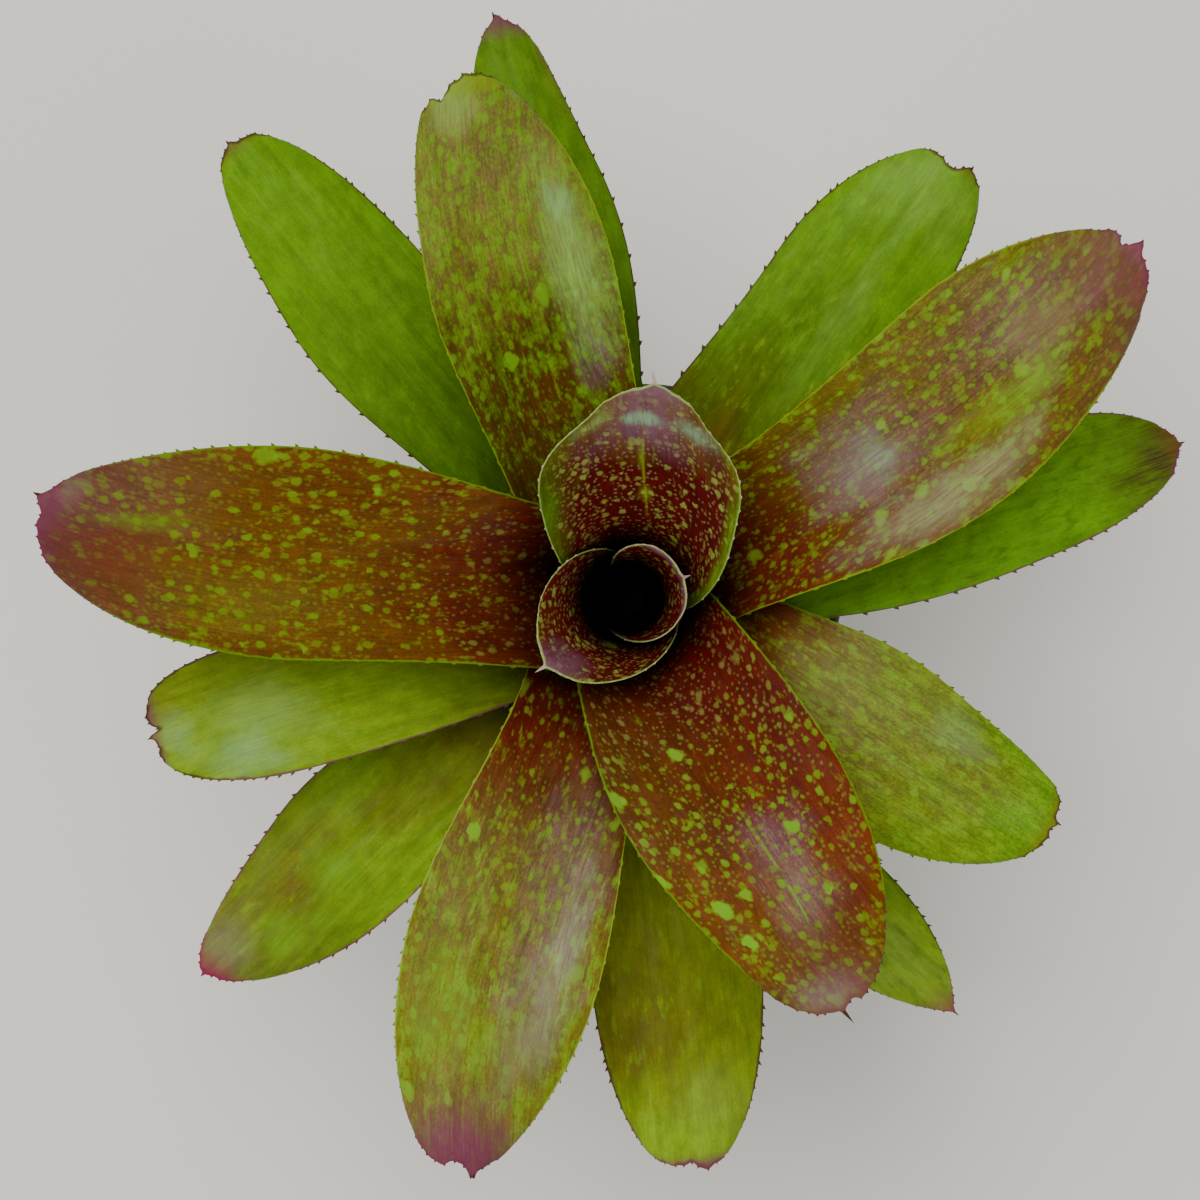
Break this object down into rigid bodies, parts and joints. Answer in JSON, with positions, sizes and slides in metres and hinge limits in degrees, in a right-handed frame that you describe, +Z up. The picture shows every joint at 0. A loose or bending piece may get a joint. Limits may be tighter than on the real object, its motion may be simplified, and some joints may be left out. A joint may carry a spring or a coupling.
{
  "type": "potted bromeliad",
  "caption": "Flat open rosette of broad strap leaves with finely spined edges round a central cup, rooted in potting mix in a round tapered plastic nursery pot.",
  "frame": {"origin": "middle of the pot's flat foot, on the surface that the pot stands on", "axes": "+Z up along the pot's axis; the upright leaf behind the cup points along +Y"},
  "size_m": [0.3022, 0.3191, 0.2014],
  "materials": {
    "pot_plastic": "satin",
    "potting_mix": "matte",
    "stem_tissue": "matte",
    "leaf_red": "satin",
    "leaf_brown": "satin",
    "leaf_green": "satin"
  },
  "bodies": {
    "root": {"pot": "pot_plastic", "soil": "potting_mix", "stem": "stem_tissue", "leaf_01": "leaf_red", "leaf_02": "leaf_red", "leaf_03": "leaf_red", "leaf_04": "leaf_red", "leaf_05": "leaf_red", "leaf_06": "leaf_brown", "leaf_07": "leaf_brown", "leaf_08": "leaf_brown", "leaf_09": "leaf_brown", "leaf_10": "leaf_green", "leaf_11": "leaf_green", "leaf_12": "leaf_green", "leaf_13": "leaf_green", "leaf_14": "leaf_green", "leaf_15": "leaf_green", "leaf_16": "leaf_green", "leaf_17": "leaf_green"}
  },
  "joints": []
}
